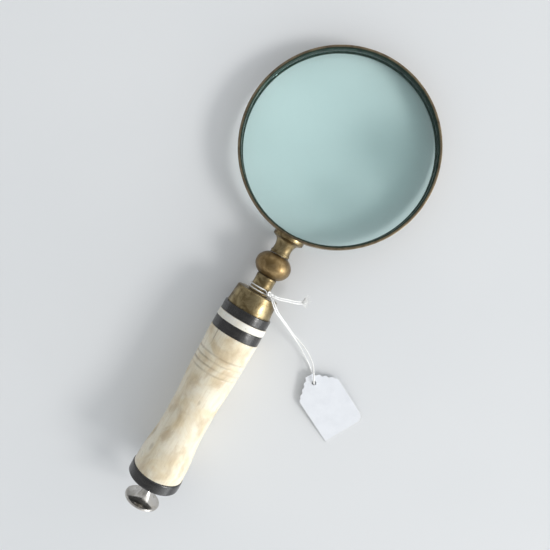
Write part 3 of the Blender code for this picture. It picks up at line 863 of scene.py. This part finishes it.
def build_neck():
    """Flanged and waisted neck, the ball and the sleeve under it."""
    metal = brass("brass_neck", (0.43, 0.345, 0.19), (0.135, 0.095, 0.04), 0.47, 0.36)
    _, rim_radius, _, _ = ring_extent("rim_band")
    _, neck_end, flange = extent("neck_stem")
    ball_start, ball_end, ball_radius = extent("neck_ball")
    sleeve_start, sleeve_end, sleeve_radius = extent("neck_sleeve")
    _, _, rod = extent("tie_rod")
    bore = rod + 0.1 * MM
    waist = 4.75 * MM
    flange_end = rim_radius + 1.4 * MM
    narrow = flange_end + 5.15 * MM
    neck_end += 0.12 * MM
    start = rim_radius - 1.5 * MM
    flare = arc((waist + 2.3 * MM, narrow), (2.3 * MM, 4.4 * MM), -90, -180, 28)
    bead = arc((waist + 0.2 * MM, neck_end - 1.15 * MM), (0.4 * MM, 0.5 * MM), -70, 70, 10)
    outline = [(bore, start), (flange, start),
               (flange, flange_end - 0.55 * MM, 0.1 * MM),
               (flange - 0.12 * MM, flange_end - 0.45 * MM, 0.05 * MM),
               (flange, flange_end - 0.35 * MM, 0.08 * MM),
               (flange - 0.05 * MM, flange_end, 0.3 * MM)]
    outline += flare + [(waist + 0.05 * MM, narrow + 1.3 * MM, 0.3 * MM)] + bead
    outline += [(waist + 0.3 * MM, neck_end - 0.5 * MM, 0.2 * MM),
                (waist + 0.65 * MM, neck_end, 0.12 * MM), (bore, neck_end)]
    soft = uneven(4, 1.6, 150, 0.05 * MM)

    def neck_shift(angle, radius, height):
        station = height + start
        joint = near(station - neck_end, 0.5 * MM) * 0.8
        crease = near(station - (neck_end - 1.75 * MM), 0.3 * MM) * 0.5
        return soft(angle, height), max(joint, crease)

    neck = turned("neck", dense(rounded(outline), 0.5 * MM), 144, metal, "neck_stem",
                  shift=neck_shift)
    saddle = lathe("saddle", [(0.0, 20 * MM), (rim_radius - 0.06 * MM, 20 * MM),
                              (rim_radius - 0.06 * MM, -20 * MM), (0.0, -20 * MM)], 288)
    carve(neck, saddle, AXIS)

    middle = (ball_start + ball_end) / 2
    reach = math.degrees(math.acos(sleeve_radius / ball_radius))
    half = (ball_end - ball_start) / 2 / math.sin(math.radians(reach))
    end_low, end_high = ball_start - 0.12 * MM, ball_end + 0.12 * MM
    outline = [(bore, end_low), (sleeve_radius - 0.25 * MM, end_low, 0.1 * MM)]
    outline += arc((0.0, middle), (ball_radius, half), -reach, reach, 56)
    outline += [(sleeve_radius - 0.25 * MM, end_high, 0.1 * MM), (bore, end_high)]
    ball_metal = brass("brass_ball", (0.36, 0.255, 0.125), (0.17, 0.11, 0.042), 0.48, 0.38)

    def ball_shift(angle, radius, height):
        station = height + end_low
        edge = min(station - end_low, end_high - station)
        return soft(angle, height), near(edge, 0.7 * MM) * 0.85

    turned("ball", rounded(outline), 144, ball_metal, "neck_ball", shift=ball_shift)

    low, high = sleeve_start - 0.12 * MM, sleeve_end + 0.12 * MM
    outline = rounded([(bore, low), (sleeve_radius - 0.05 * MM, low, 0.2 * MM),
                       (sleeve_radius + 0.12 * MM, low + 0.9 * MM, 0.4 * MM),
                       (sleeve_radius - 0.04 * MM, low + 1.7 * MM, 0.5 * MM),
                       (sleeve_radius, high - 0.8 * MM, 0.3 * MM),
                       (sleeve_radius + 0.1 * MM, high, 0.1 * MM), (bore, high)])

    def sleeve_shift(angle, radius, height):
        return soft(angle, height + 1.0), near(min(height, high - low - height), 0.5 * MM) * 0.6

    turned("sleeve", dense(outline, 0.45 * MM), 112, metal, "neck_sleeve",
           shift=sleeve_shift)
    return metal


# ---- ferrule and rings

def build_ferrule(metal):
    """Conical brass cup, open below over the horn ring."""
    start, end, widest = extent("ferrule")
    _, _, rod = extent("tie_rod")
    bore = rod + 0.1 * MM
    start, end = start - 0.1 * MM, end + 0.1 * MM
    wall = 1.2 * MM
    top = widest - 1.0 * MM
    outline = [(bore, start), (top - 0.9 * MM, start, 0.3 * MM)]
    outline += arc((top - 0.75 * MM, start + 0.75 * MM), (0.75 * MM, 0.75 * MM), -84, -6, 8)
    outline += [(widest - 0.07 * MM, end - 0.55 * MM, 0.06 * MM),
                (widest - 0.16 * MM, end - 0.45 * MM, 0.05 * MM),
                (widest, end - 0.33 * MM, 0.06 * MM), (widest, end, 0.12 * MM),
                (widest - wall, end), (top - wall, start + 2 * MM), (bore, start + 2 * MM)]
    soft = uneven(6, 1.8, 130, 0.07 * MM)
    chips = uneven(7, 9, 300, 1.0)

    def shift(angle, radius, height):
        edge = near(end - start - height, 0.9 * MM)
        chip = max(0.0, chips(angle, 0.0) - 0.32)
        grime_and_shade = edge * (0.25 + 1.6 * chip)
        return soft(angle, height) - edge * chip * 0.25 * MM, min(0.8, grime_and_shade)

    turned("ferrule_cup", dense(rounded(outline), 0.5 * MM), 160, metal, "ferrule",
           shift=shift)


def build_ring(node, name, look, seed, corner, seams=(), pits=()):
    """A turned ring with soft corners. Seams are cuts across it at angles in degrees, and pits
    are (angle, share of its length, size) marks."""
    start, end, radius = extent(node)
    start, end = start - 0.15 * MM + SEAM / 2, end + 0.15 * MM - SEAM / 2
    bore = extent("tie_rod")[2] + 0.1 * MM if node == "end_horn_ring" else RING_BORE
    long = end - start
    outline = rounded([(bore, start), (radius, start, corner), (radius + 0.03 * MM,
                      start + long / 2, 0.5 * MM), (radius, end, corner), (bore, end)])
    soft = uneven(seed, 1.5, 90, 0.1 * MM)
    fine = uneven(seed + 0.5, 7, 500, 0.025 * MM)

    def shift(angle, radius_here, height):
        if radius_here < radius - 1.5 * MM:
            return 0.0, 0.0
        moved = soft(angle, 0.0) + fine(angle, height)
        stain = near(min(height, long - height), 0.25 * MM) * 0.6
        for seam in seams:
            away = abs(way_round(angle, seam, radius))
            away += 0.1 * MM * noise.noise(Vector((height * 900, seam, 0)))
            cut = groove(away, 0.3 * MM)
            moved -= 0.1 * MM * cut
            stain = max(stain, cut)
        for pit, share, size in pits:
            away = math.hypot(way_round(angle, pit, radius), height - share * long)
            hole = groove(away, size)
            moved -= 0.25 * MM * hole
            stain = max(stain, hole)
        return moved, stain

    return turned(name, dense(outline, 0.3 * MM), 240, look, node, shift=shift)


def build_rings():
    """The three horn rings and the bone ring, with the seams and pits of each."""
    black = horn("horn_black")
    white = bone("bone_spacer", (0.84, 0.82, 0.755), (0.80, 0.77, 0.68), (0.66, 0.61, 0.50))
    soft_edge = 0.3 * MM
    build_ring("upper_horn_ring", "horn_ring_upper", black, 11, soft_edge,
               seams=(100, 236, 318))
    build_ring("bone_spacer_ring", "bone_ring", white, 12, 0.35 * MM,
               pits=((74, 0.6, 0.3 * MM), (128, 0.35, 0.25 * MM)))
    build_ring("lower_horn_ring", "horn_ring_lower", black, 13, soft_edge,
               seams=(28, 205), pits=((118, 0.4, 0.3 * MM),))
    build_ring("end_horn_ring", "horn_ring_end", black, 14, 0.9 * MM,
               pits=((138, 0.62, 0.35 * MM), (151, 0.25, 0.22 * MM), (290, 0.5, 0.3 * MM)))


# ---- bone handle

def through(points):
    """Smooth function through (place, value) points."""
    slopes = []
    for i in range(len(points)):
        before, after = points[max(i - 1, 0)], points[min(i + 1, len(points) - 1)]
        slopes.append((after[1] - before[1]) / (after[0] - before[0]))

    def value(place):
        i = 0
        while i < len(points) - 2 and place > points[i + 1][0]:
            i += 1
        (x0, y0), (x1, y1) = points[i], points[i + 1]
        width = x1 - x0
        t = min(1.0, max(0.0, (place - x0) / width))
        return (y0 * (2 * t ** 3 - 3 * t ** 2 + 1) + slopes[i] * width * (t ** 3 - 2 * t ** 2 + t)
                + y1 * (3 * t ** 2 - 2 * t ** 3) + slopes[i + 1] * width * (t ** 3 - t ** 2))
    return value


def handle_shape():
    """The swell of the bone and the stations of its engraved lines, read from the CAD node."""
    found = {}
    for point in axis_points("bone_handle"):
        radius = math.hypot(point.x, point.z)
        if radius > 10 * MM:
            station = round(-point.y, 5)
            found[station] = max(radius, found.get(station, 0.0))
    swell = sorted(found.items())
    lines = [here[0] for before, here, after in zip(swell, swell[1:], swell[2:])
             if here[1] < min(before[1], after[1]) - 0.2 * MM]
    return through([point for point in swell if point[0] not in lines]), lines


def build_handle():
    """Bone sleeve: swelling and hand-finished, with four engraved lines, a hairline crack and
    a few dents that hold dirt."""
    start, end, _ = extent("bone_handle")
    start, end = start - 0.12 * MM, end + 0.12 * MM
    swell, lines = handle_shape()
    bore = extent("handle_core")[2] + 0.1 * MM
    half, depth = 0.75 * MM, 0.22 * MM
    stations = [start + 0.45 * MM]
    while stations[-1] < end - 0.9 * MM:
        near = min(abs(stations[-1] - line) for line in lines)
        stations.append(stations[-1] + (0.13 if near < 0.9 * MM else 0.5) * MM)
    outline = [(bore, start), (swell(start), start, 0.35 * MM)]
    outline += [(swell(station), station) for station in stations]
    outline += [(swell(end), end, 0.35 * MM), (bore, end)]
    oval = uneven(21, 0.9, 22, 0.16 * MM)
    knock = uneven(22, 3.5, 110, 0.035 * MM)
    cut_depth = uneven(23, 1.6, 700, 0.8)
    cut_path = uneven(24, 1.3, 500, 0.16 * MM)
    crack_angle, crack_end = math.radians(126), start + 9.5 * MM
    dents = [(172.5, 158, 2.2, 0.22), (178.0, 131, 1.4, 0.12), (146.0, 82, 0.9, 0.1),
             (158.0, 205, 2.4, 0.18), (131.5, 250, 1.8, 0.14), (184.0, 300, 2.2, 0.15)]

    def shift(angle, radius, height):
        if radius < bore + MM:
            return 0.0, 0.0
        station = height + start
        moved = oval(angle, height) + knock(angle, height)
        # left is 1 on the side away from the window: the engraved lines are painted darker there as
        # shade, and fade on the lit side.
        left = 0.5 - 0.5 * math.cos(angle)
        stain = 0.0
        for line in lines:
            cut = groove(station + cut_path(angle, line) - line, half)
            cut *= 0.75 + cut_depth(angle, line)
            moved -= depth * cut
            stain = max(stain, cut * (0.22 + 0.3 * left))
        if station < crack_end:
            wander = 0.35 * MM * noise.noise(Vector((station * 420, 2.0, 0.0)))
            away = abs((angle - crack_angle) * radius - wander)
            fade = min(1.0, (crack_end - station) / (5 * MM))
            cut = fade * groove(away, 0.28 * MM)
            moved -= 0.12 * MM * cut
            stain = max(stain, 0.9 * cut)
        for place, where, size, deep in dents:
            away = math.hypot(way_round(angle, where, radius), (station - place * MM) * 0.55)
            away /= size * MM
            if away < 1:
                moved -= deep * MM * (1 - away ** 2) ** 2
                stain = max(stain, 0.32 * (1 - away ** 2))
        return moved, min(1.0, stain)

    look = bone("bone_handle_grip", (0.81, 0.755, 0.615), (0.725, 0.62, 0.43),
                (0.50, 0.385, 0.235))
    turned("bone_grip", rounded(outline), 264, look, "bone_handle", shift=shift)


# ---- finial and rod

def build_finial():
    """Nickel mushroom nut and the washer under it."""
    metal = nickel("nickel_plate")
    _, washer_end, radius = extent("finial_washer")
    bore = extent("tie_rod")[2] + 0.08 * MM
    start = extent("end_horn_ring")[1] + 0.18 * MM
    outline = rounded([(bore, start), (radius, start, 0.15 * MM),
                       (radius, washer_end, 0.3 * MM), (bore, washer_end)])
    turned("washer_nickel", outline, 96, metal, "finial_washer", "washer")

    _, end, radius = extent("finial")
    start = washer_end + 0.06 * MM
    stem = 2.5 * MM
    edge = end - 3.2 * MM
    edge_end = edge + 1.0 * MM
    dome = end - edge_end
    curve = (radius ** 2 + dome ** 2) / (2 * dome)
    wide = radius - 0.45 * MM - stem
    outline = [(bore, start, 0.1 * MM), (stem + 0.35 * MM, start, 0.12 * MM),
               (stem + 0.35 * MM, start + 0.7 * MM, 0.15 * MM),
               (stem, start + 0.95 * MM, 0.15 * MM)]
    outline += arc((stem + wide, start + 1.9 * MM), (wide, edge - start - 1.8 * MM), 180, 90, 40)
    outline += [(radius - 0.1 * MM, edge - 0.02 * MM, 0.15 * MM),
                (radius, edge + 0.2 * MM, 0.12 * MM), (radius, edge_end - 0.15 * MM, 0.12 * MM)]
    radii = [(radius - 0.12 * MM) * (1 - i / 30) for i in range(31)]
    outline += [(r, end - curve + math.sqrt(curve ** 2 - r ** 2)) for r in radii]
    outline += [(0.0, edge - 1.4 * MM), (bore, edge - 1.4 * MM)]
    turned("finial_nut", rounded(outline), 160, metal, "finial", "finial_nut")


def build_rod(look):
    """The tie rod, threaded where the finial screws on."""
    start, end, radius = extent("tie_rod")
    threaded = extent("end_horn_ring")[0]
    outline = [(0.0, start), (radius - 0.2 * MM, start), (radius, start + 0.3 * MM),
               (radius, threaded - MM)]
    steps = math.ceil((end - threaded) / (PITCH / 8))
    outline += [(radius, threaded + (end - 0.3 * MM - threaded) * i / steps)
                for i in range(steps + 1)]
    outline += [(radius - 0.25 * MM, end), (0.0, end)]

    shift = thread(0.16 * MM, lambda here, height: height + start >= threaded and here >= radius)
    turned("rod_threaded", outline, 48, look, "tie_rod", shift=shift)


# ---- everything in its order

build_camera()
string, knot, fray, string_path, string_length = build_string()
tag = build_tag()
build_stage()
build_head()
neck_metal = build_neck()
build_ferrule(neck_metal)
build_rings()
build_handle()
build_finial()
rod_steel = steel("steel_worn")
build_rod(rod_steel)
build_screw(rod_steel)
core = frame["nodes"]["handle_core"]
core.data.materials.clear()
core.data.materials.append(wood("wood_core"))
